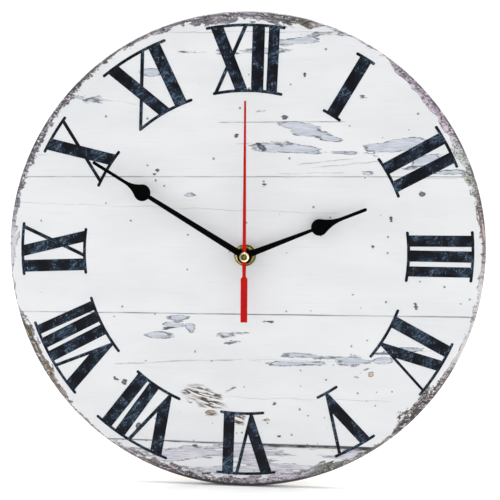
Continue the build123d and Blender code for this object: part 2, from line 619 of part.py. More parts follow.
# ---------------------------------------------------------------- wheels of the going train
S_ROTOR_PINION = (3.0, 4.2)
S_INTER = (3.3, 3.9)
S_SECONDS = (4.9, 5.5)
S_THIRD = (6.8, 7.4)
S_CENTRE = (9.0, 9.8)
PIVOT_START = 1.5
WHEEL_HUB_R = 1.6
MAGNET_S = (4.6, 7.4)
INTER_PINION_W = 1.7
SECONDS_PINION_W = 2.3
THIRD_PINION_W = 2.6
SECONDS_HUB_S = (4.0, 5.9)
CENTRE_HUB_S = (8.8, 10.1)
CENTRE_HUB_R = 2.6

with BuildPart() as rotor_pinion:
    disc(ROTOR, PIVOT_START, S_PLATE[1] - PIVOT_START, PIN_R)
    gear(ROTOR, S_ROTOR_PINION[0], S_ROTOR_PINION[1] - S_ROTOR_PINION[0], N_ROTOR, M_MOTOR, PH_ROTOR)
    disc(ROTOR, MAGNET_S[0] - 0.4, 0.4, WHEEL_HUB_R)
    disc(ROTOR, MAGNET_S[1], 0.5, WHEEL_HUB_R)
save(rotor_pinion, "rotor_pinion")

with BuildPart() as rotor_magnet:
    disc(ROTOR, MAGNET_S[0], MAGNET_S[1] - MAGNET_S[0], MAGNET_R)
    disc(ROTOR, MAGNET_S[0], MAGNET_S[1] - MAGNET_S[0], PIN_R, mode=Mode.SUBTRACT)
save(rotor_magnet, "rotor_magnet")

with BuildPart() as intermediate_wheel:
    disc(INTER, PIVOT_START, S_PLATE[1] - PIVOT_START, PIN_R)
    gear(INTER, S_INTER[0], S_INTER[1] - S_INTER[0], N_INTER, M_MOTOR, PH_INTER)
    gear(INTER, S_INTER[1], INTER_PINION_W, N_INTER_PINION, M_MOTOR, PH_INTER_PINION)
save(intermediate_wheel, "intermediate_wheel")

with BuildPart() as seconds_arbor:
    disc(MAIN, PIVOT_START, S_ARBOR_END - PIVOT_START, PIN_R)
save(seconds_arbor, "seconds_arbor")

with BuildPart() as seconds_wheel:
    disc(MAIN, SECONDS_HUB_S[0], SECONDS_HUB_S[1] - SECONDS_HUB_S[0], WHEEL_HUB_R)
    gear(MAIN, S_SECONDS[0], S_SECONDS[1] - S_SECONDS[0], N_SECONDS, M_MOTOR, PH_SECONDS)
    gear(MAIN, S_SECONDS[1], SECONDS_PINION_W, N_SECONDS_PINION, M_THIRD, PH_SECONDS_PINION)
    pinion_end = S_SECONDS[1] + SECONDS_PINION_W
    disc(MAIN, SECONDS_HUB_S[0], pinion_end - SECONDS_HUB_S[0], PIN_R, mode=Mode.SUBTRACT)
save(seconds_wheel, "seconds_wheel")

with BuildPart() as third_wheel:
    disc(THIRD, PIVOT_START, S_PLATE[1] - PIVOT_START, PIN_R)
    disc(THIRD, S_THIRD[0] - 1.0, 1.0, WHEEL_HUB_R)
    gear(THIRD, S_THIRD[0], S_THIRD[1] - S_THIRD[0], N_THIRD, M_THIRD, PH_THIRD)
    gear(THIRD, S_THIRD[1], THIRD_PINION_W, N_THIRD_PINION, M_CENTRE, PH_THIRD_PINION)
save(third_wheel, "third_wheel")

SLIP_GAP = 0.02           # the centre wheel slips on the minute arbor when the hands are set
with BuildPart() as centre_wheel:
    disc(MAIN, CENTRE_HUB_S[0], CENTRE_HUB_S[1] - CENTRE_HUB_S[0], CENTRE_HUB_R)
    gear(MAIN, S_CENTRE[0], S_CENTRE[1] - S_CENTRE[0], N_CENTRE, M_CENTRE, PH_CENTRE)
    disc(MAIN, CENTRE_HUB_S[0], CENTRE_HUB_S[1] - CENTRE_HUB_S[0], MINUTE_ARBOR_R + SLIP_GAP,
         mode=Mode.SUBTRACT)
save(centre_wheel, "centre_wheel")

# ---------------------------------------------------------------- motion work
S_CANNON = (11.4, 12.6)
S_TRANSFER = (11.6, 12.4)
S_HOUR = (13.3, 14.2)
S_ARBOR_FOOT = 8.2        # flange that carries the centre wheel
ARBOR_FLANGE_R = 2.2
ARBOR_FLANGE_T = 0.5
TRANSFER_PINION_W = 2.0
PIVOT_S = (S_PLATE[0] + 0.1, S_FRONT_WALL + 0.6)

with BuildPart() as minute_arbor:
    arbor_top = S_MINUTE_HAND + HAND_T + 0.4
    disc(MAIN, S_ARBOR_FOOT, arbor_top - S_ARBOR_FOOT, MINUTE_ARBOR_R)
    disc(MAIN, S_ARBOR_FOOT, ARBOR_FLANGE_T, ARBOR_FLANGE_R)
    gear(MAIN, S_CANNON[0], S_CANNON[1] - S_CANNON[0], N_CANNON, M_MOTION, PH_CANNON)
    disc(MAIN, S_ARBOR_FOOT, arbor_top - S_ARBOR_FOOT, PIN_R + RUN, mode=Mode.SUBTRACT)
save(minute_arbor, "minute_arbor")

with BuildPart() as transfer_wheel:
    disc(TRANSFER, PIVOT_S[0], PIVOT_S[1] - PIVOT_S[0], PIN_R)
    gear(TRANSFER, S_TRANSFER[0], S_TRANSFER[1] - S_TRANSFER[0], N_TRANSFER, M_MOTION, PH_TRANSFER)
    gear(TRANSFER, S_TRANSFER[1], TRANSFER_PINION_W, N_TRANSFER_PINION, M_HOUR, PH_TRANSFER_PINION)
save(transfer_wheel, "transfer_wheel")

with BuildPart() as hour_wheel:
    gear(MAIN, S_HOUR[0], S_HOUR[1] - S_HOUR[0], N_HOUR, M_HOUR, PH_HOUR)
    tube_l = S_HOUR_HAND + HAND_T + 0.3 - S_HOUR[0]
    disc(MAIN, S_HOUR[0], tube_l, HOUR_TUBE_R)
    disc(MAIN, S_HOUR[0], tube_l, MINUTE_ARBOR_R + RUN, mode=Mode.SUBTRACT)
save(hour_wheel, "hour_wheel")

KNOB_S = (0.2, 2.4)
KNOB_FLUTES = 24
FLUTE_R = 0.4
FINGER_SLOT = (8.0, 1.2, 0.8)  # length, width and depth
with BuildPart() as setting_knob:
    with BuildSketch(face_plane(KNOB_S[0], SET)):
        Circle(KNOB_R)
        with PolarLocations(KNOB_R + 0.15, KNOB_FLUTES):
            Circle(FLUTE_R, mode=Mode.SUBTRACT)
    extrude(amount=KNOB_S[1] - KNOB_S[0])
    # finger slot across the rear face
    slot_l, slot_w, slot_depth = FINGER_SLOT
    block(around(SET[0], slot_l), around(SET[1], slot_w), (KNOB_S[0], KNOB_S[0] + slot_depth),
          mode=Mode.SUBTRACT)
    disc(SET, KNOB_S[1], S_CANNON[0] - KNOB_S[1], SET_STEM_R)
    gear(SET, S_CANNON[0], S_CANNON[1] - S_CANNON[0], N_SET, M_MOTION, PH_SET)
    disc(SET, S_CANNON[1], PIVOT_S[1] - S_CANNON[1], SET_TIP_R)
save(setting_knob, "setting_knob")

# ---------------------------------------------------------------- hands
HUB_R = 4.6
BLOB_R = 5.2
SHOULDER = 37.0           # where the hollow taper leaves the blob, above its widest line


def pear_hand(blob_at, taper_end, length, arm_hub, arm_blob, stem):
    """Outline of a pear hand along local y: arm, round blob, hollow taper and slim tip."""
    Circle(HUB_R)
    Polygon((-arm_hub / 2, 0), (arm_hub / 2, 0), (arm_blob / 2, blob_at), (-arm_blob / 2, blob_at),
            align=None)
    with Locations((0.0, blob_at)):
        Circle(BLOB_R)
    half = stem / 2
    shoulder_x = BLOB_R * cos(radians(SHOULDER))
    shoulder_y = blob_at + BLOB_R * sin(radians(SHOULDER))
    with BuildLine() as outline:
        Line((-shoulder_x, shoulder_y), (shoulder_x, shoulder_y))
        TangentArc((half, taper_end), (shoulder_x, shoulder_y), tangent=(0, -1))
        Line((half, taper_end), (half, length - half))
        ThreePointArc((half, length - half), (0.0, length), (-half, length - half))
        Line((-half, length - half), (-half, taper_end))
        TangentArc((-half, taper_end), (-shoulder_x, shoulder_y), tangent=(0, -1))
    make_face(outline.edges())


COLLAR_L = 1.2
EDGE_BREAK = 0.12         # painted edge of the stamped hands


def round_front_edges(hand):
    """Round the edges of a hand's front face."""
    fillet(hand.faces().sort_by(Axis.Y)[0].edges(), radius=EDGE_BREAK)


with BuildPart() as hour_hand:
    with BuildSketch(hand_plane(S_HOUR_HAND, HOUR_ANGLE)):
        pear_hand(49.5, 65.0, HOUR_LEN, 4.2, 1.8, 2.1)
    extrude(amount=HAND_T)
    round_front_edges(hour_hand)
    disc(MAIN, S_HOUR_HAND - COLLAR_L, COLLAR_L, HOUR_TUBE_R + 0.5)
    disc(MAIN, S_HOUR_HAND - COLLAR_L, COLLAR_L + HAND_T, HOUR_TUBE_R, mode=Mode.SUBTRACT)
save(hour_hand, "hour_hand")

with BuildPart() as minute_hand:
    with BuildSketch(hand_plane(S_MINUTE_HAND, MINUTE_ANGLE)):
        pear_hand(74.3, 87.0, MINUTE_LEN, 4.1, 2.55, 2.0)
    extrude(amount=HAND_T)
    round_front_edges(minute_hand)
    disc(MAIN, S_MINUTE_HAND - COLLAR_L, COLLAR_L, MINUTE_ARBOR_R + 0.5)
    disc(MAIN, S_MINUTE_HAND - COLLAR_L, COLLAR_L + HAND_T, MINUTE_ARBOR_R, mode=Mode.SUBTRACT)
save(minute_hand, "minute_hand")

SECOND_T = 0.3
SECOND_HUB_R = 2.8
POINTER_HALF = 1.1        # half widths of the pointer, at the hub and at the tip
POINTER_TIP = 0.6
NECK_ROOT = 1.4
NECK_HALF = 1.05
NECK_L = 12.0
BAR_HALF = 2.1
BAR_START = 13.6
BAR_END = 40.6
BUSH_STEM_R = 1.5
BUSH_STEM_L = 1.4
BUSH_CAP_R = 3.0
RECESS_R = 2.0
RECESS_DEPTH = 0.6
BUSH_EDGE_R = 0.5
BLIND_END = 0.1           # room between an arbor's end and the bottom of its hole
with BuildPart() as second_hand:
    with BuildSketch(hand_plane(S_SECOND_HAND, SECOND_ANGLE)):
        Circle(SECOND_HUB_R)
        Polygon((-POINTER_HALF, 0), (POINTER_HALF, 0), (POINTER_TIP, SECOND_LEN), (-POINTER_TIP, SECOND_LEN),
                align=None)
        # counterweight: slim neck, then a broad flat bar
        right = [(NECK_ROOT, 0), (NECK_HALF, -NECK_L), (BAR_HALF, -BAR_START), (BAR_HALF, -BAR_END)]
        left = [(-x, y) for x, y in reversed(right)]
        Polygon(*right, *left, align=None)
        Circle(BUSH_STEM_R, mode=Mode.SUBTRACT)
    extrude(amount=SECOND_T)
save(second_hand, "second_hand")

with BuildPart() as second_hand_bush:
    cap_s = S_SECOND_HAND + SECOND_T
    stem_s = S_SECOND_HAND - BUSH_STEM_L
    disc(MAIN, stem_s, cap_s - stem_s, BUSH_STEM_R)
    disc(MAIN, cap_s, S_BUSH_TOP - cap_s, BUSH_CAP_R)
    fillet(second_hand_bush.faces().sort_by(Axis.Y)[0].edges(), radius=BUSH_EDGE_R)
    disc(MAIN, S_BUSH_TOP - RECESS_DEPTH, RECESS_DEPTH, RECESS_R, mode=Mode.SUBTRACT)
    disc(MAIN, stem_s, S_ARBOR_END + BLIND_END - stem_s, PIN_R, mode=Mode.SUBTRACT)
save(second_hand_bush, "second_hand_bush")
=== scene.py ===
"""Looks of the wall clock: printed board, ink, painted hands, brass nose, movement, floor and light.

Everything is in metres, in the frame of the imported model: +Z towards XII, +X to the right, dial facing -Y.
The dial's artwork is worked out in millimetres on the dial, x to the right and z up from the hand axis.
"""

import json
import math

import bpy
from mathutils import Euler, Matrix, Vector


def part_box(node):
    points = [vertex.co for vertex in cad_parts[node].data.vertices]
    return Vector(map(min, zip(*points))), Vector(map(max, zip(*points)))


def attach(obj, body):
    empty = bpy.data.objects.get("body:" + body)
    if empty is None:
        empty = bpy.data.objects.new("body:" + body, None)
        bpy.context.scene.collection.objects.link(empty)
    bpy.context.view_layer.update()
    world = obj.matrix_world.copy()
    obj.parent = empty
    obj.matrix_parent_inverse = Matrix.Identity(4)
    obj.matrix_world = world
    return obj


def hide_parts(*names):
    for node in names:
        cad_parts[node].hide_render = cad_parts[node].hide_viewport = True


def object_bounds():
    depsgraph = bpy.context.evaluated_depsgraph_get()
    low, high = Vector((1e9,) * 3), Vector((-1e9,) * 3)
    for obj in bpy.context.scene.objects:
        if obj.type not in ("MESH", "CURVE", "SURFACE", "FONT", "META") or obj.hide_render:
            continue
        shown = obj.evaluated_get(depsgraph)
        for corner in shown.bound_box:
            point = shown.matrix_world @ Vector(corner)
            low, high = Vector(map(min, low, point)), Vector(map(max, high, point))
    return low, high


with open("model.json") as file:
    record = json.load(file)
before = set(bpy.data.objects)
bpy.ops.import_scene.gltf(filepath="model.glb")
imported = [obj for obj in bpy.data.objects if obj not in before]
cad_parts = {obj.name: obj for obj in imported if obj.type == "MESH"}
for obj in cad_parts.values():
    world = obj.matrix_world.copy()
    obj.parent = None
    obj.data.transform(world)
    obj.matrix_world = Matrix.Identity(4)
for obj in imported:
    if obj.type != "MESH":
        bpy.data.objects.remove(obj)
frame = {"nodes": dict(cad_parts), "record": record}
cad_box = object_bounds()
nodes = frame["nodes"]
scene = bpy.context.scene

MM = 1000.0  # millimetres in a metre
ENDLESS = 1000000.0  # mm, so long that a pattern of this size doesn't change across the clock

# ------------------------------------------------------------------ camera
dial_low, dial_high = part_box("dial_print")
DIAL_CENTRE = Vector((0.0, dial_low.y, 0.0))
DIAL_R = dial_high.x * MM
CAMERA_DISTANCE = 0.51
CAMERA_AZIMUTH = math.radians(2.43)
CAMERA_ELEVATION = math.radians(5.44)
CAMERA_ROLL = math.radians(1.05)

camera_data = bpy.data.cameras.new("photo_camera")
camera_data.sensor_width = 36.0
camera_data.lens = 58.45
camera_data.shift_x = 0.0098
camera_data.shift_y = 0.0103
camera_data.clip_start = 0.01
camera_data.clip_end = 50.0
camera = bpy.data.objects.new("photo_camera", camera_data)
scene.collection.objects.link(camera)
toward_camera = Vector((
    math.sin(CAMERA_AZIMUTH) * math.cos(CAMERA_ELEVATION),
    -math.cos(CAMERA_AZIMUTH) * math.cos(CAMERA_ELEVATION),
    math.sin(CAMERA_ELEVATION),
))
camera.location = DIAL_CENTRE + CAMERA_DISTANCE * toward_camera
aim = (-toward_camera).to_track_quat("-Z", "Y")
camera.rotation_euler = (aim @ Euler((0.0, 0.0, CAMERA_ROLL)).to_quaternion()).to_euler()
scene.camera = camera
scene.view_settings.view_transform = "Standard"


# ------------------------------------------------------------------ shader graph helper
def srgb(red, green, blue):
    """Linear colour from display values of 0 to 255."""
    def linear(value):
        share = value / 255.0
        return share / 12.92 if share <= 0.04045 else ((share + 0.055) / 1.055) ** 2.4
    return (linear(red), linear(green), linear(blue), 1.0)


class Graph:
    """Short calls for building a material's nodes. Values may be numbers, tuples or sockets.

    Every node is made after the ones it reads, which keeps the compiled shader small.
    """

    def __init__(self, name):
        self.material = bpy.data.materials.new(name)
        self.material.use_nodes = True
        self.tree = self.material.node_tree
        self.shader = self.tree.nodes["Principled BSDF"]
        self.place = self.tree.nodes.new("ShaderNodeTexCoord").outputs["Object"]
        scaled = self.tree.nodes.new("ShaderNodeVectorMath")
        scaled.operation = "SCALE"
        self.put(scaled.inputs[0], self.place)
        scaled.inputs["Scale"].default_value = MM
        split = self.tree.nodes.new("ShaderNodeSeparateXYZ")
        self.put(split.inputs[0], scaled.outputs[0])
        self.x, self.y, self.z = split.outputs

    def put(self, socket, value):
        if isinstance(value, bpy.types.NodeSocket):
            self.tree.links.new(value, socket)
        else:
            socket.default_value = value

    def math(self, operation, *values):
        node = self.tree.nodes.new("ShaderNodeMath")
        node.operation = operation
        for socket, value in zip(node.inputs, values):
            self.put(socket, value)
        return node.outputs[0]

    def add(self, a, b):
        return self.math("ADD", a, b)

    def sub(self, a, b):
        return self.math("SUBTRACT", a, b)

    def mul(self, a, b):
        return self.math("MULTIPLY", a, b)

    def radius(self):
        """Distance in mm from the hand axis."""
        up = self.mul(self.z, self.z)
        return self.math("SQRT", self.math("MULTIPLY_ADD", self.x, self.x, up))

    def rises(self, value, low, high, to_low=0.0, to_high=1.0):
        """Smooth step of a value from low to high."""
        node = self.tree.nodes.new("ShaderNodeMapRange")
        node.interpolation_type = "SMOOTHSTEP"
        self.put(node.inputs["Value"], value)
        ends = {"From Min": low, "From Max": high, "To Min": to_low, "To Max": to_high}
        for name, number in ends.items():
            node.inputs[name].default_value = number
        return node.outputs[0]

    def mapped(self, middle, size, tilt=0.0):
        """Object place measured from a middle, in its own sizes, given as x, y and z in mm."""
        node = self.tree.nodes.new("ShaderNodeMapping")
        node.vector_type = "TEXTURE"
        self.put(node.inputs["Vector"], self.place)
        node.inputs["Location"].default_value = [value / MM for value in middle]
        node.inputs["Rotation"].default_value = (0.0, -math.radians(tilt), 0.0)
        node.inputs["Scale"].default_value = [value / MM for value in size]
        return node.outputs[0]

    def spread(self, size, seed, tilt, flat):
        """Object place for a pattern with features of a size in mm: one number, or x and z."""
        across, up = size if isinstance(size, tuple) else (size, size)
        if flat:
            return self.mapped((0.0, -seed * MM, 0.0), (across, MM, up), tilt)
        return self.mapped((seed * across, 0.0, 0.0), (across, across, up), tilt)

    def noise(self, size, seed, detail=4.0, rough=0.55, distortion=0.0, tilt=0.0, flat=False):
        """Fractal noise about 0.5. A flat one doesn't change along Y."""
        place = self.spread(size, seed, tilt, flat)
        node = self.tree.nodes.new("ShaderNodeTexNoise")
        self.put(node.inputs["Vector"], place)
        node.inputs["Scale"].default_value = 1.0
        node.inputs["Detail"].default_value = detail
        node.inputs["Roughness"].default_value = rough
        node.inputs["Distortion"].default_value = distortion
        return node.outputs["Fac"]

    def facets(self, size, seed):
        """Angular pattern of 0 to about 1, the same along Y."""
        place = self.spread(size, seed, 0.0, True)
        node = self.tree.nodes.new("ShaderNodeTexVoronoi")
        node.distance = "MANHATTAN"
        self.put(node.inputs["Vector"], place)
        node.inputs["Scale"].default_value = 1.0
        return node.outputs["Distance"]

    def rim_noise(self, along, across, seed, detail=3.0, rough=0.55):
        """Fractal noise bent round the hand axis, with sizes in mm along the rim and across it."""
        depth = self.math("MULTIPLY_ADD", self.radius(), 1.0 / across, seed)
        lifted = self.tree.nodes.new("ShaderNodeCombineXYZ")
        self.put(lifted.inputs[1], depth)
        place = self.mapped((0.0, 0.0, 0.0), (1.0, ENDLESS, 1.0))
        direction = self.tree.nodes.new("ShaderNodeVectorMath")
        direction.operation = "NORMALIZE"
        self.put(direction.inputs[0], place)
        wrapped = self.tree.nodes.new("ShaderNodeVectorMath")
        wrapped.operation = "MULTIPLY_ADD"
        self.put(wrapped.inputs[0], direction.outputs[0])
        wrapped.inputs[1].default_value = [DIAL_R / along] * 3
        self.put(wrapped.inputs[2], lifted.outputs[0])
        node = self.tree.nodes.new("ShaderNodeTexNoise")
        self.put(node.inputs["Vector"], wrapped.outputs[0])
        node.inputs["Scale"].default_value = 1.0
        node.inputs["Detail"].default_value = detail
        node.inputs["Roughness"].default_value = rough
        return node.outputs["Fac"]

    def cells(self, size, seed):
        """Distance in mm to the nearest of scattered points, and a random number of that point."""
        place = self.spread(size, seed, 0.0, True)
        node = self.tree.nodes.new("ShaderNodeTexVoronoi")
        self.put(node.inputs["Vector"], place)
        node.inputs["Scale"].default_value = 1.0
        split = self.tree.nodes.new("ShaderNodeSeparateColor")
        self.put(split.inputs[0], node.outputs["Color"])
        return self.mul(node.outputs["Distance"], size), split.outputs[0]

    def ramp(self, value, stops):
        """Colour and alpha along a value of 0 to 1, straight between the stops."""
        node = self.tree.nodes.new("ShaderNodeValToRGB")
        self.put(node.inputs[0], value)
        elements = node.color_ramp.elements
        elements[0].position, elements[0].color = stops[0]
        elements[1].position, elements[1].color = stops[-1]
        for position, colour in stops[1:-1]:
            elements.new(position).color = colour
        return node.outputs[0], node.outputs[1]

    def mix(self, share, a, b):
        node = self.tree.nodes.new("ShaderNodeMix")
        node.data_type = "RGBA"
        self.put(node.inputs[0], share)
        self.put(node.inputs[6], a)
        self.put(node.inputs[7], b)
        return node.outputs[2]

    def bump(self, height, depth):
        """Surface relief: height of 0 to 1, depth in metres."""
        node = self.tree.nodes.new("ShaderNodeBump")
        self.put(node.inputs["Height"], height)
        node.inputs["Distance"].default_value = depth
        self.put(self.shader.inputs["Normal"], node.outputs[0])

    def finish(self, **settings):
        """Set the shader's sockets and return the material."""
        for name, value in settings.items():
            self.put(self.shader.inputs[name.replace("_", " ")], value)
        return self.material


# ------------------------------------------------------------------ the dial's artwork
# flakes of paint: x and z of the middle, half length, half height in mm, and tilt in degrees
PALE_FLAKES = [
    (32, 133.2, 15, 3.0, 8), (58, 136.4, 18, 2.0, 3), (-1, 125.2, 22, 1.8, 1), (-94, 95, 22, 2.2, -3),
    (-61, 111, 8, 2.2, 0), (12, 90.2, 8.5, 1.1, 3), (36, 79, 18, 3.4, -10), (50, 74.4, 8, 1.6, -16),
    (13, 67.6, 12, 2.6, 0), (34, 66.3, 18, 3.2, -4), (54, 65.3, 10, 0.9, -2), (91, 69.6, 19, 4.0, 11),
    (110, 61, 15, 3.4, 27), (75, 52, 3.6, 1.2, 0), (119, 53.6, 14, 1.1, 4), (-44, -41.6, 8.5, 2.0, 3),
    (-46, -45.4, 6, 2.6, -6), (-33.5, -48, 3.2, 3.8, 30), (-54.5, -51.8, 8.5, 2.3, 6),
    (-11, -50.4, 6.5, 1.0, 0), (-7, -56.4, 8, 1.1, 8), (42, -63.6, 14, 1.9, 0), (33, -68.6, 12, 1.7, 2),
    (69, -65.6, 11, 3.4, -4), (88, -64.4, 5, 2.2, 8), (104, -58.4, 14, 1.8, 8), (-36, 37.4, 2.2, 1.1, 10),
]
DARK_CHIPS = [
    (108.5, 40.2, 2.0, 1.5, 0), (-55.6, 52, 1.0, 1.0, 0), (-57.5, 49.6, 0.7, 0.6, 0),
    (-7, 74.4, 1.1, 1.0, 30), (34.6, 112, 0.8, 1.0, 0), (11, 44.4, 1.1, 0.6, 0),
    (-76, -83.4, 1.7, 1.5, 0), (-81.5, -81.4, 1.4, 0.7, -40), (70.3, 99.3, 1.3, 0.6, 0),
    (23, 86, 1.6, 1.2, 0), (90.2, 25, 0.9, 1.6, 10), (79.6, 7, 0.6, 0.9, 0),
    (107.5, -30, 0.9, 1.8, 10), (8.8, 67.6, 3.2, 1.5, -30), (15, -41.8, 2.2, 0.5, -5),
    (-48, -47.6, 3.0, 0.7, 10), (20.5, -95, 1.0, 0.8, 0), (23.8, -116, 1.0, 0.7, 0),
    (-30, -124, 1.6, 0.8, 0), (-67, -112, 1.4, 2.0, -30),
]
BROWN_CHIPS = [
    (81, -74, 1.9, 1.9, 0), (71.4, -76, 1.4, 1.0, 0), (15.8, -105.6, 2.6, 1.0, -6),
    (0.5, -109, 1.2, 1.0, 0), (-7, -86, 3.6, 0.7, 30), (-20, -102, 4.0, 2.0, 10),
    (78, -71, 2.6, 0.6, 30), (-1.5, -103.4, 1.0, 0.9, 0), (-16, -91, 3.0, 1.6, -20),
    (-34, -95, 2.4, 0.8, -25),
]
SCRATCHED = [(-23, -92, 16, 6.0, -18), (-20, -103, 5, 3.0, 0), (-3, -106, 5, 5, 0)]
MOSSY = [(67, -135, 15, 4.0, 18), (36, -141, 12, 1.6, 10)]
# seams and cracks: x and z of both ends, half width in mm, darkness of 0 to 1, and length in mm of
# the stretches that differ along them
SEAMS = [
    (-150, 46.4, 145, 51.6, 0.30, 0.62, 40.0), (-150, -39.4, 145, -35.8, 0.34, 0.80, 60.0),
    (-20, 82.2, 62, 84.0, 0.30, 0.60, 14.0), (-60, 136.6, 60, 137.8, 0.26, 0.40, 25.0),
    (-150, 30.6, 60, 27.2, 0.24, 0.26, 30.0), (-84, -71.8, 2, -66.8, 0.30, 0.45, 16.0),
    (2, -66.8, 82, -66.0, 0.24, 0.30, 12.0), (-50, -91.6, 96, -91.0, 0.22, 0.26, 30.0),
    (-92, -121.2, 90, -121.6, 0.42, 0.95, 60.0), (38, 55.4, 86, 60.4, 0.26, 0.45, 12.0),
    (18, 51.0, 62, 52.8, 0.24, 0.40, 10.0), (-122, 97.2, -66, 92.4, 0.24, 0.35, 14.0),
    (104, 49.8, 148, 51.0, 0.24, 0.35, 14.0), (-8, 69.6, 6, 69.0, 0.20, 0.40, 8.0),
    (-136, 60.8, -118, 60.2, 0.22, 0.30, 9.0), (30, 57.2, 70, 62.0, 0.22, 0.45, 9.0),
]
DARK_STRIPS = [(8, -122.1, 90, -122.6, 0.90, 1.0, 18.0), (-50, -121.6, 0, -121.8, 0.45, 0.80, 18.0)]
STRAIGHT_SEAM = 0.55  # the darker seams run straight, the fainter cracks wander
# the rim by the clock hour: width of the worn band in mm, how crumbled it is, and its tint
RIM = [
    (0.0, 5.2, 0.45, (116, 110, 124)), (0.28, 6.0, 0.50, (84, 88, 80)), (0.47, 5.4, 0.68, (104, 98, 80)),
    (0.60, 1.0, 0.05, (170, 168, 172)), (1.12, 1.0, 0.10, (140, 136, 140)),
    (1.35, 4.4, 0.65, (184, 170, 190)), (1.9, 4.8, 0.66, (198, 180, 196)),
    (2.2, 5.8, 0.56, (184, 200, 186)), (2.5, 4.6, 0.66, (150, 138, 130)), (2.85, 2.4, 0.30, (118, 82, 76)),
    (3.15, 3.0, 0.28, (206, 200, 200)), (3.8, 2.2, 0.22, (206, 200, 202)), (4.05, 4.6, 0.72, (98, 82, 68)),
    (4.5, 6.2, 0.90, (72, 62, 52)), (4.7, 2.0, 0.30, (112, 100, 88)), (5.05, 2.0, 0.40, (128, 126, 114)),
    (5.25, 5.6, 0.62, (92, 104, 86)), (5.65, 7.0, 0.48, (190, 180, 200)), (6.1, 6.0, 0.70, (122, 110, 120)),
    (6.45, 6.4, 0.85, (94, 76, 72)), (6.8, 5.0, 0.64, (114, 100, 102)), (7.1, 1.8, 0.35, (150, 144, 150)),
    (7.6, 1.4, 0.18, (150, 146, 148)), (7.85, 4.0, 0.50, (130, 112, 84)), (8.1, 5.4, 0.58, (92, 84, 58)),
    (8.4, 4.4, 0.32, (84, 76, 54)), (8.55, 1.2, 0.05, (180, 180, 188)), (9.1, 3.8, 0.05, (200, 200, 208)),
    (9.4, 2.8, 0.68, (120, 120, 132)), (10.3, 3.2, 0.90, (96, 88, 96)), (10.8, 1.4, 0.36, (96, 88, 84)),
    (12.0, 5.2, 0.45, (116, 110, 124)),
]
RIM_GIVEN = 10.0  # mm, the widest band that the list can hold
RIM_WIDEST = 12.0  # mm, what it comes to on the dial, before its ragged edge
BOTTOM_SEAM_Z = -122.0
BUSY_Z = (-60.0, -90.0)  # between these heights the specks get more
PAINTED_SHADE_Z = (-134.0, -145.0)  # between these heights the turned-over edge gets a painted shade, darkest at the bottom, where it faces down
FLAKE_MARGIN = 5.0  # how far outside a flake its distance is still told, in mm
CRUMBS_DEPTH = 10.0  # how far in from the rim paint may be crumbled, in mm
EDGE_BAND = (1.9, 0.8)  # the turned-over edge starts this far in from the rim, and is whole from there
SIDE_BAND = (0.7, 0.2)  # the side of the board likewise


def flake_distance(g, flakes):
    """Rough distance in mm outside the nearest of some flakes, negative inside them."""
    nearest = None
    for x, z, half_x, half_z, tilt in flakes:
        depth = min(half_x, half_z)
        reach = 1.0 + FLAKE_MARGIN / depth
        place = g.mapped((x, 0.0, z), (half_x * reach, ENDLESS, half_z * reach), tilt)
        node = g.tree.nodes.new("ShaderNodeTexGradient")
        node.gradient_type = "SPHERICAL"
        g.put(node.inputs[0], place)
        distance = g.math("MULTIPLY_ADD", node.outputs["Fac"], -reach * depth, FLAKE_MARGIN)
        nearest = distance if nearest is None else g.math("MINIMUM", nearest, distance)
    return nearest


def seam_darkness(g, seams):
    """How dark the seams between planks and the cracks are, 0 to 1."""
    wander = g.math("MULTIPLY_ADD", g.noise((22.0, 9.0), 3.1, 3.0, flat=True), 2.6, -1.3)
    darkest = None
    for number, (x0, z0, x1, z1, half, dark, patch) in enumerate(seams):
        slope = (z1 - z0) / (x1 - x0)
        line = g.math("MULTIPLY_ADD", g.x, slope, z0 - slope * x0)
        bend = g.mul(wander, 0.18 if dark > STRAIGHT_SEAM else 1.5)
        off = g.math("ABSOLUTE", g.add(g.sub(g.z, line), bend))
        ends = g.sub(abs(x1 - x0) / 2, g.math("ABSOLUTE", g.sub(g.x, (x0 + x1) / 2)))
        mark = g.mul(g.rises(off, 0.5 * half, 1.7 * half, 1.0, 0.0), g.rises(ends, 0.0, 5.0))
        breaks = g.noise((patch, 7.0), 11.0 + number, 4.0, 0.6, flat=True)
        mark = g.mul(mark, g.rises(breaks, 0.34, 0.58, 0.25 * dark, dark))
        darkest = mark if darkest is None else g.math("MAXIMUM", darkest, mark)
    return darkest


def clock_hours(g):
    """Place round the dial as a share of its twelve hours, clockwise from XII."""
    turn = g.math("DIVIDE", g.math("ARCTAN2", g.x, g.z), 2.0 * math.pi)
    return g.math("FRACT", g.add(turn, 1.0))


def peeled(g, paint, level, tint, line_tint, line):
    """Paint with patches of another tint where a level is below 0, and a thin line of shade round them."""
    paint = g.mix(g.rises(level, -0.30, 0.15, 1.0, 0.0), paint, tint)
    shade = g.mul(g.rises(g.math("ABSOLUTE", level), 0.18, 0.60, 1.0, 0.0), line)
    return g.mix(shade, paint, line_tint)


def scratches(g, size, seed, tilt, width):
    """Thin wandering lines, 0 to 1: the contour of a stretched noise."""
    off = g.math("ABSOLUTE", g.sub(g.noise(size, seed, 3.0, 0.5, 0.4, tilt, True), 0.5))
    return g.rises(off, 0.5 * width, width, 1.0, 0.0)


class Wear:
    """Patterns that several marks share: ragged edges in mm, and streaks and a line weight of 0 to 1."""

    def __init__(self, g):
        self.coarse = g.math("MULTIPLY_ADD", g.facets((26.0, 5.0), 5.3), 3.0, -1.7)
        self.fine = g.math("MULTIPLY_ADD", g.noise((4.0, 1.1), 6.1, 4.0, 0.62, flat=True), 2.6, -1.3)
        self.ragged = g.add(self.coarse, self.fine)
        self.streak = g.noise((9.0, 0.7), 7.7, 3.0, 0.6, flat=True)
        self.line = g.rises(g.noise((6.0, 2.0), 9.1, 3.0, flat=True), 0.38, 0.58, 0.20, 0.90)


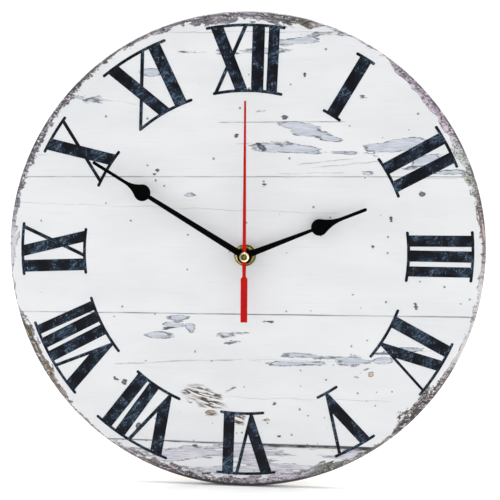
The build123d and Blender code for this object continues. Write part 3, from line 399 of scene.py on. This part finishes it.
def white_planks(g, cloud):
    """White paint with soft plank shading and grain."""
    grain = g.noise((26.0, 0.9), 1.9, 3.0, 0.6, flat=True)
    paint = g.mix(g.rises(cloud, 0.3, 0.7), srgb(219, 221, 223), srgb(226, 227, 229))
    return g.mix(g.rises(grain, 0.52, 0.78, 0.0, 0.35), paint, srgb(205, 208, 214))


def flaked(g, paint, wear):
    """Pale flakes with ragged outlines, and the seams between the planks over them."""
    pale = g.add(wear.ragged, flake_distance(g, PALE_FLAKES))
    tint = g.mix(g.rises(wear.streak, 0.35, 0.66), srgb(178, 184, 196), srgb(205, 209, 218))
    paint = peeled(g, paint, pale, tint, srgb(78, 86, 99), wear.line)
    return g.mix(seam_darkness(g, SEAMS), paint, srgb(62, 66, 74))


def chipped(g, paint, wear):
    """Dark chips, brown chips, and a scratched patch between VI and VII."""
    chips = g.add(g.math("MULTIPLY_ADD", wear.fine, 1.4, 0.25), flake_distance(g, DARK_CHIPS))
    paint = peeled(g, paint, chips, srgb(112, 118, 122), srgb(50, 56, 62), 0.95)
    brown = g.add(g.math("MULTIPLY_ADD", wear.fine, 1.2, 0.5), flake_distance(g, BROWN_CHIPS))
    paint = peeled(g, paint, brown, srgb(200, 184, 164), srgb(100, 78, 56), wear.line)
    patch = g.rises(g.add(wear.ragged, flake_distance(g, SCRATCHED)), -2.0, 1.0, 1.0, 0.0)
    stain = g.mul(patch, g.rises(wear.streak, 0.50, 0.66, 0.0, 0.5))
    paint = g.mix(stain, paint, srgb(196, 182, 168))
    cuts = g.mul(patch, scratches(g, (15.0, 2.0), 17.0, -14.0, 0.09))
    return g.mix(cuts, paint, srgb(74, 56, 48))


def specked(g, paint, wear):
    """Fine specks, more of them low on the dial."""
    speck, lot = g.cells(5.2, 2.2)
    shown = g.math("LESS_THAN", lot, g.rises(g.z, *BUSY_Z, 0.12, 0.46))
    size = g.mul(g.rises(lot, 0.0, 0.46, 0.8, 0.25), shown)
    speck = g.math("LESS_THAN", g.math("MULTIPLY_ADD", wear.fine, 0.5, speck), size)
    return g.mix(g.mul(speck, 0.75), paint, srgb(92, 90, 92))


def bottom_plank(g, paint, wear):
    """Heavily peeled plank at the bottom, with moss, and dark strips in its seam."""
    below = g.rises(g.z, BOTTOM_SEAM_Z + 0.4, BOTTOM_SEAM_Z - 0.4)
    plank = g.noise((44.0, 5.5), 16.4, 4.0, 0.6, flat=True)
    peel = g.math("MULTIPLY_ADD", plank, -24.0, 11.3)
    peel = g.math("MULTIPLY_ADD", wear.coarse, 0.35, peel)
    peel = g.add(peel, g.mul(g.sub(1.0, below), 20.0))
    tint = g.mix(g.rises(wear.streak, 0.35, 0.66), srgb(178, 177, 188), srgb(214, 212, 221))
    paint = peeled(g, paint, peel, tint, srgb(70, 74, 80), g.mul(wear.line, 0.75))
    moss = g.rises(g.add(wear.coarse, flake_distance(g, MOSSY)), -1.0, 1.6, 0.9, 0.0)
    paint = g.mix(g.mul(moss, g.rises(wear.streak, 0.40, 0.62, 1.0, 0.45)), paint, srgb(70, 78, 66))
    return g.mix(seam_darkness(g, DARK_STRIPS), paint, srgb(34, 36, 42))


def crumbled_paint(g, paint, wear, tint, crumbled):
    """Crumbs of loose paint, which reach further in where the rim is more crumbled."""
    reach = g.rises(g.radius(), DIAL_R - CRUMBS_DEPTH, DIAL_R - 1.5, -0.55, -0.09)
    scribble = g.noise((7.5, 3.6), 21.3, 5.0, 0.68, 0.4, flat=True)
    level = g.add(scribble, g.math("MULTIPLY_ADD", crumbled, 0.23, reach))
    level = g.math("MULTIPLY_ADD", level, -16.0, 16.0 * 0.54)
    fleck = g.rises(g.noise((2.6, 1.5), 25.0, 4.0, 0.7, flat=True), 0.48, 0.58)
    crumb_tint = g.mix(fleck, g.mix(0.42, tint, srgb(44, 38, 40)), srgb(216, 207, 219))
    paint = peeled(g, paint, level, crumb_tint, srgb(60, 56, 58), wear.line)
    dark = g.mul(scratches(g, (4.2, 2.4), 31.0, 0.0, 0.05), g.rises(level, -1.2, 1.0, 0.7, 0.0))
    return g.mix(dark, paint, srgb(38, 34, 37))


def worn_edge_and_painted_bottom_shade(g, paint, tint, crumbled, edge):
    """The side of the board, worn all round, and the turned-over edge, worn by rubbing here and there and
    given a painted shade along the bottom.
    """
    worn = g.rises(g.noise(2.6, 47.0, 4.0, 0.65), 0.42, 0.60)
    side_tint = g.mix(worn, srgb(214, 211, 215), g.mix(0.45, tint, srgb(74, 68, 72)))
    side = g.rises(g.radius(), DIAL_R - SIDE_BAND[0], DIAL_R - SIDE_BAND[1])
    paint = g.mix(side, paint, side_tint)
    # painted shade: the turned-over edge gets darker towards the bottom, where it faces down, and the dark
    # band reaches further in there
    low = g.rises(g.z, *PAINTED_SHADE_Z)
    radius_widened_for_painted_shade = g.math("MULTIPLY_ADD", low, 0.9, g.radius())
    turned_over = g.rises(radius_widened_for_painted_shade, DIAL_R - EDGE_BAND[0], DIAL_R - EDGE_BAND[1])
    rubbed_and_painted_shade = g.mul(g.rises(edge, 0.42, 0.56, 0.0, 0.8), g.rises(crumbled, 0.30, 0.62))
    # one dark colour serves both the wear from rubbing and the painted shade at the bottom
    rubbed_and_painted_shade = g.math("MAXIMUM", rubbed_and_painted_shade, low)
    return g.mix(g.mul(turned_over, rubbed_and_painted_shade), paint, srgb(48, 43, 48))


def worn_rim(g, paint, wear):
    """Worn band along the rim, streaked lengthwise, with its grit, crumbs and edge."""
    hours = clock_hours(g)
    stops = [(hour / 12.0, (band / RIM_GIVEN,) * 3 + (1.0,)) for hour, band, crumbled, tint in RIM]
    band = g.mul(g.ramp(hours, stops)[0], RIM_WIDEST)
    edge = g.rim_noise(11.0, 5.0, 3.0, 4.0, 0.65)
    inside = g.add(g.sub(g.radius(), DIAL_R), g.mul(band, g.rises(edge, 0.25, 0.75, 0.25, 1.45)))
    stops = [(hour / 12.0, srgb(*tint)[:3] + (crumbled,)) for hour, band, crumbled, tint in RIM]
    tint, crumbled = g.ramp(hours, stops)
    along = g.rim_noise(13.0, 1.1, 8.0, 4.0, 0.65)
    band_tint = g.mix(g.rises(along, 0.46, 0.64, 0.0, 0.75), tint, srgb(212, 208, 214))
    paint = peeled(g, paint, g.mul(inside, -1.0), band_tint, srgb(74, 70, 72), g.mul(wear.line, 0.8))
    grit = g.noise((3.0, 1.7), 43.0, 4.0, 0.75, flat=True)
    gritty = g.mul(g.rises(inside, -1.2, 1.2), g.rises(crumbled, 0.10, 0.75, 0.10, 0.95))
    paint = g.mix(g.mul(gritty, g.rises(grit, 0.52, 0.57)), paint, srgb(50, 42, 46))
    paint = crumbled_paint(g, paint, wear, tint, crumbled)
    return worn_edge_and_painted_bottom_shade(g, paint, tint, crumbled, edge)


def print_material():
    """Worn white planks, printed and lacquered."""
    g = Graph("worn_planks_print")
    cloud = g.noise((70.0, 22.0), 0.7, 3.0, flat=True)
    paint = white_planks(g, cloud)
    wear = Wear(g)
    for layer in (flaked, chipped, specked, bottom_plank, worn_rim):
        paint = layer(g, paint, wear)
    g.bump(g.noise(1.6, 40.0, 3.0), 0.00001)
    rough = g.rises(cloud, 0.3, 0.7, 0.34, 0.42)
    return g.finish(Base_Color=paint, Roughness=rough, Specular_IOR_Level=0.35)


def ink_material():
    """Blue-black numeral ink, worn to teal in streaks."""
    g = Graph("worn_numeral_ink")
    patch = g.noise(12.0, 50.0, 5.0, 0.62, 0.5, flat=True)
    streak = g.noise((5.0, 1.2), 52.0, 5.0, 0.7, tilt=30.0, flat=True)
    ink = g.mix(g.rises(patch, 0.36, 0.60), srgb(15, 17, 23), srgb(27, 33, 45))
    worn = g.mul(g.rises(patch, 0.47, 0.60), g.rises(streak, 0.46, 0.60, 0.0, 0.8))
    ink = g.mix(worn, ink, srgb(76, 100, 122))
    scratch = g.rises(g.noise((1.2, 3.0), 57.0, 4.0, 0.75, flat=True), 0.58, 0.66, 0.0, 0.75)
    ink = g.mix(g.mul(scratch, g.rises(patch, 0.42, 0.54)), ink, srgb(150, 166, 178))
    return g.finish(Base_Color=ink, Roughness=g.rises(patch, 0.3, 0.7, 0.36, 0.5), Specular_IOR_Level=0.08)


# ------------------------------------------------------------------ other finishes
def enamel(name, colour, other, rough, shine):
    """Enamel on stamped sheet, with a faint orange-peel surface and small differences in tone."""
    g = Graph(name)
    tone = g.noise(14.0, 60.0)
    fine = g.noise(0.7, 61.0, 3.0)
    g.bump(fine, 0.00001)
    return g.finish(Base_Color=g.mix(g.rises(tone, 0.3, 0.7), colour, other), Specular_IOR_Level=shine,
                    Roughness=g.rises(fine, 0.3, 0.7, rough - 0.05, rough + 0.07))


def turned_metal(name, colour, dark, rough):
    """Metal turned about the hand axis, with fine rings and some tarnish."""
    g = Graph(name)
    place = g.mapped((0.0, 0.0, 0.0), (1.0, 1.0, 1.0))
    rings = g.tree.nodes.new("ShaderNodeTexWave")
    rings.wave_type = "RINGS"
    rings.rings_direction = "Y"
    g.put(rings.inputs["Vector"], place)
    rings.inputs["Scale"].default_value = 1.4
    rings.inputs["Distortion"].default_value = 1.5
    rings.inputs["Detail"].default_value = 3.0
    rings.inputs["Detail Scale"].default_value = 3.0
    tarnish = g.noise(2.4, 71.0, 4.0, 0.6)
    g.bump(rings.outputs["Fac"], 0.00002)
    return g.finish(Base_Color=g.mix(g.rises(tarnish, 0.42, 0.72), colour, dark), Metallic=1.0,
                    Roughness=g.rises(rings.outputs["Fac"], 0.2, 0.8, rough, rough + 0.12))


def nose_material():
    """Brass of the nut and washer: an outer ring of painted shade, an inner ring of painted highlight, and
    painted shade on the lower right.
    """
    g = Graph("turned_brass_nose_painted_light")
    radius = g.radius()
    tarnish = g.noise(1.7, 71.0, 4.0, 0.6)
    # painted shade on the lower right of the nut
    painted_shade_low_right = g.rises(g.sub(g.x, g.z), 2.0, 7.0, 0.0, 0.75)
    # painted highlight on the inner ring and painted shade on the outer ring, both flecked with tarnish
    painted_highlight_brass = g.mix(g.rises(tarnish, 0.40, 0.66), srgb(214, 198, 118), srgb(150, 132, 66))
    painted_shade_brass = g.mix(g.rises(tarnish, 0.40, 0.62), srgb(136, 120, 58), srgb(88, 74, 26))
    brass = g.mix(g.rises(radius, 5.65, 6.0), painted_highlight_brass, painted_shade_brass)
    # the painted shade on the lower right goes over both rings
    brass = g.mix(painted_shade_low_right, brass, srgb(92, 86, 48))
    g.bump(tarnish, 0.00002)
    return g.finish(Base_Color=brass, Metallic=1.0, Roughness=g.rises(tarnish, 0.3, 0.7, 0.20, 0.32))


def bush_material():
    """Polished bush of the second hand: its rim has a painted highlight on the right and painted shade on
    the left, and its recess is painted shade with painted glints.
    """
    g = Graph("polished_bush_painted_light")
    radius = g.radius()
    mottle = g.noise(0.9, 73.0, 3.0, 0.6)
    # painted light: the rim is lighter on its right side and darker on its left
    rim = g.mix(g.rises(g.x, -2.6, 0.6), srgb(150, 142, 112), srgb(255, 248, 208))
    # painted shade in the recess, with lighter mottles as painted glints
    recess = g.mix(g.rises(mottle, 0.42, 0.60), srgb(58, 52, 16), srgb(134, 128, 84))
    g.bump(mottle, 0.00003)
    return g.finish(Base_Color=g.mix(g.rises(radius, 1.85, 2.05), recess, rim), Metallic=1.0,
                    Roughness=g.rises(mottle, 0.3, 0.7, 0.18, 0.28))


def moulded(name, colour, dark, rough, grain=0.35, depth=0.00003):
    """Moulded plastic or rubber with a spark-eroded grain."""
    g = Graph(name)
    fine = g.noise(grain, 80.0, 3.0, 0.6)
    broad = g.noise(16.0, 81.0, 3.0)
    g.bump(fine, depth)
    return g.finish(Base_Color=g.mix(g.rises(broad, 0.35, 0.65), colour, dark),
                    Roughness=g.rises(fine, 0.3, 0.7, rough - 0.06, rough + 0.08))


def fibreboard_material():
    """Pressed wood fibres, seen on the back."""
    g = Graph("pressed_fibreboard")
    fibres = g.noise((3.2, 0.5), 90.0, 4.0, 0.7, 1.2)
    crossed = g.noise((0.5, 2.8), 91.0, 4.0, 0.7, 1.2)
    broad = g.noise(45.0, 92.0, 3.0)
    base = g.mix(g.rises(fibres, 0.35, 0.65), srgb(150, 116, 82), srgb(178, 144, 106))
    base = g.mix(g.rises(crossed, 0.55, 0.72, 0.0, 0.7), base, srgb(122, 90, 62))
    base = g.mix(g.rises(broad, 0.35, 0.65, 0.0, 0.35), base, srgb(160, 128, 96))
    g.bump(g.add(fibres, crossed), 0.00006)
    return g.finish(Base_Color=base, Roughness=g.rises(fibres, 0.3, 0.7, 0.76, 0.88))


def copper_material():
    """Enamelled copper wire, wound in close turns along Z."""
    g = Graph("wound_copper_wire")
    turns = g.math("ABSOLUTE", g.math("SINE", g.mul(g.z, math.pi / 0.22)))
    tone = g.noise((5.0, 0.3), 95.0, 3.0)
    g.bump(turns, 0.00006)
    return g.finish(Base_Color=g.mix(g.rises(tone, 0.35, 0.65), srgb(176, 96, 52), srgb(206, 128, 78)),
                    Metallic=0.9, Roughness=g.rises(turns, 0.0, 1.0, 0.42, 0.28))


def board_material():
    """Pressed paper circuit board with lighter lanes of lacquered copper."""
    g = Graph("paper_circuit_board")
    fibre = g.noise((1.6, 0.4), 98.0)
    bend = g.math("MULTIPLY_ADD", g.noise(4.0, 99.0), 5.0, g.mul(g.z, 1.1))
    lane = g.math("ABSOLUTE", g.math("SINE", bend))
    base = g.mix(g.rises(fibre, 0.35, 0.65), srgb(150, 104, 56), srgb(172, 126, 74))
    base = g.mix(g.rises(lane, 0.80, 0.88, 0.0, 0.8), base, srgb(196, 140, 92))
    g.bump(lane, 0.00003)
    return g.finish(Base_Color=base, Roughness=g.rises(fibre, 0.3, 0.7, 0.45, 0.55))


def sleeve_material():
    """Plain printed sleeve of the cell: slate blue, with a silver band at the positive end."""
    g = Graph("printed_battery_sleeve")
    band = g.math("GREATER_THAN", g.x, 14.0)
    scuff = g.noise((6.0, 1.0), 101.0, 4.0, 0.6)
    base = g.mix(band, srgb(62, 86, 98), srgb(190, 192, 194))
    base = g.mix(g.rises(scuff, 0.62, 0.72, 0.0, 0.5), base, srgb(120, 122, 126))
    return g.finish(Base_Color=base, Metallic=g.mul(band, 0.8),
                    Roughness=g.rises(scuff, 0.3, 0.7, 0.26, 0.4))


FINISHES = {
    "fibreboard": fibreboard_material(),
    "dial_print": print_material(),
    "numeral_ink": ink_material(),
    "rubber_gasket": moulded("gasket_rubber", srgb(24, 24, 25), srgb(34, 34, 35), 0.75),
    "brass": nose_material(),
    "black_plastic": moulded("grained_black_plastic", srgb(26, 27, 29), srgb(34, 35, 37), 0.46),
    "black_plastic_knob": moulded(
        "smooth_black_plastic", srgb(20, 21, 23), srgb(30, 30, 32), 0.38, 0.25, 0.00002),
    "white_plastic": moulded(
        "acetal_plastic", srgb(228, 226, 218), srgb(214, 212, 204), 0.42, 0.5, 0.00001),
    "steel": turned_metal("ground_steel", srgb(176, 178, 182), srgb(128, 130, 136), 0.26),
    "nickel": turned_metal("nickel_plating", srgb(206, 202, 192), srgb(168, 164, 154), 0.22),
    "battery_can": turned_metal("plated_battery_can", srgb(208, 208, 204), srgb(160, 160, 158), 0.24),
    "copper_wire": copper_material(),
    "circuit_board": board_material(),
    "magnet": moulded("ferrite_magnet", srgb(58, 58, 62), srgb(44, 44, 48), 0.5, 0.3, 0.00004),
    "battery_sleeve": sleeve_material(),
    "black_hand": enamel("black_enamel", srgb(2, 2, 2), srgb(5, 5, 4), 0.45, 0.02),
    "red_hand": enamel("red_enamel", srgb(186, 18, 17), srgb(170, 13, 13), 0.42, 0.07),
}
OWN_FINISHES = {"second_hand_bush": bush_material()}
for part in frame["record"]["subparts"]:
    for material_slot in nodes[part["node"]].material_slots:
        material_slot.material = OWN_FINISHES.get(part["node"], FINISHES[part["material_slot"]])

# ------------------------------------------------------------------ board and printed film, turned about Y
EDGE_R = 0.002  # rounded front edge
FILM_T = 0.0002  # printed film
BORE_R = 0.0043  # hole for the nose of the movement
AROUND = 288  # steps round the hand axis
FACE_RINGS = 24  # steps along a flat face
EDGE_STEPS = 8  # steps along the rounded edge
SHARP_ANGLE = math.radians(35.0)


def turned(name, profile, finish):
    """Closed ring turned about the hand axis from a closed outline of (radius, y)."""
    count = len(profile)
    corners = []
    for step in range(AROUND):
        turn = 2.0 * math.pi * step / AROUND
        corners += [(radius * math.cos(turn), y, radius * math.sin(turn)) for radius, y in profile]
    faces = []
    for step in range(AROUND):
        here, there = step * count, (step + 1) % AROUND * count
        for k in range(count):
            after = (k + 1) % count
            faces.append((here + k, there + k, there + after, here + after))
    mesh = bpy.data.meshes.new(name)
    mesh.from_pydata(corners, [], faces)
    mesh.validate()
    mesh.polygons.foreach_set("use_smooth", [True] * len(mesh.polygons))
    mesh.set_sharp_from_angle(angle=SHARP_ANGLE)
    mesh.materials.append(finish)
    piece = bpy.data.objects.new(name, mesh)
    scene.collection.objects.link(piece)
    return piece


def face_run(y, inner, outer):
    """Points of a flat face from its inner to its outer radius."""
    return [(inner + (outer - inner) * step / FACE_RINGS, y) for step in range(FACE_RINGS + 1)]


def edge_run(front, radius, outer):
    """Points of the rounded front edge, from the face to the side."""
    points = []
    for step in range(1, EDGE_STEPS + 1):
        turn = 0.5 * math.pi * step / EDGE_STEPS
        points.append((outer - radius + radius * math.sin(turn), front + radius - radius * math.cos(turn)))
    return points


film_front, film_back, film_r = dial_low.y, dial_high.y, dial_high.z
core_front, core_r = film_front + FILM_T, film_r - FILM_T
film_profile = face_run(film_front, BORE_R, film_r - EDGE_R) + edge_run(film_front, EDGE_R, film_r)
film_profile += [(film_r, film_back), (core_r, film_back)]
film_profile += list(reversed(edge_run(core_front, EDGE_R - FILM_T, core_r)))
film_profile += list(reversed(face_run(core_front, BORE_R, film_r - EDGE_R)))
core_profile = face_run(core_front, BORE_R, film_r - EDGE_R) + edge_run(core_front, EDGE_R - FILM_T, core_r)
core_profile += list(reversed(face_run(film_back, BORE_R, core_r)))

printed_film = turned("printed_film", film_profile, FINISHES["dial_print"])
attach(printed_film, "clock_body")
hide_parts("dial_print")
board_core = turned("board_core", core_profile, FINISHES["fibreboard"])
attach(board_core, "clock_body")
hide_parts("dial_board")

# ------------------------------------------------------------------ floor, world and lights
floor_z = cad_box[0].z
FLOOR_HALF = 30.0
floor_mesh = bpy.data.meshes.new("floor")
signs = ((-1, -1), (1, -1), (1, 1), (-1, 1))
floor_corners = [(sx * FLOOR_HALF, sy * FLOOR_HALF, floor_z) for sx, sy in signs]
floor_mesh.from_pydata(floor_corners, [], [(0, 1, 2, 3)])
floor = bpy.data.objects.new("floor", floor_mesh)
scene.collection.objects.link(floor)
paper = Graph("pale_floor_paper")
paper_tone = paper.noise(60.0, 110.0, 3.0)
floor_mesh.materials.append(paper.finish(
    Base_Color=paper.mix(paper_tone, srgb(246, 246, 246), srgb(250, 250, 250)), Roughness=0.9,
    Specular_IOR_Level=0.1))

# the light is even, with a dark card behind the camera that keeps blacks deep
AMBIENT = 0.50
CARD = 0.24
world = bpy.data.worlds.new("studio")
world.use_nodes = True
scene.world = world
studio = world.node_tree
direction = studio.nodes.new("ShaderNodeTexCoord")
split = studio.nodes.new("ShaderNodeSeparateXYZ")
studio.links.new(direction.outputs["Generated"], split.inputs[0])
card = studio.nodes.new("ShaderNodeMapRange")
card.interpolation_type = "SMOOTHSTEP"
studio.links.new(split.outputs[1], card.inputs["Value"])
card_edge = {"From Min": -0.95, "From Max": -0.70, "To Min": CARD, "To Max": AMBIENT}
for socket, value in card_edge.items():
    card.inputs[socket].default_value = value
ambient = studio.nodes["Background"]
ambient.inputs["Color"].default_value = (1.0, 1.0, 1.0, 1.0)
studio.links.new(card.outputs[0], ambient.inputs["Strength"])
backdrop = studio.nodes.new("ShaderNodeBackground")
backdrop.inputs["Color"].default_value = (1.0, 1.0, 1.0, 1.0)
backdrop.inputs["Strength"].default_value = 1.05
ray = studio.nodes.new("ShaderNodeLightPath")
choice = studio.nodes.new("ShaderNodeMixShader")
studio.links.new(ray.outputs["Is Camera Ray"], choice.inputs[0])
studio.links.new(ambient.outputs[0], choice.inputs[1])
studio.links.new(backdrop.outputs[0], choice.inputs[2])
studio.links.new(choice.outputs[0], studio.nodes["World Output"].inputs["Surface"])

overhead = bpy.data.lights.new("overhead_sky", "SUN")
overhead.energy = 2.75
overhead.angle = math.radians(28.0)
overhead_object = bpy.data.objects.new("overhead_sky", overhead)
scene.collection.objects.link(overhead_object)

# name, place, watts, and side in metres
SOFTBOXES = [
    ("key_softbox", (-0.95, -0.95, 0.75), 3.9, 1.0),
    ("fill_softbox", (1.15, -0.85, 0.35), 2.1, 0.9),
    ("back_softbox", (0.4, 1.2, 0.8), 9.0, 1.0),
]
for name, place, watts, side in SOFTBOXES:
    lamp = bpy.data.lights.new(name, "AREA")
    lamp.size = side
    lamp.energy = watts
    softbox = bpy.data.objects.new(name, lamp)
    scene.collection.objects.link(softbox)
    softbox.location = place
    softbox.rotation_euler = (DIAL_CENTRE - Vector(place)).to_track_quat("-Z", "Y").to_euler()
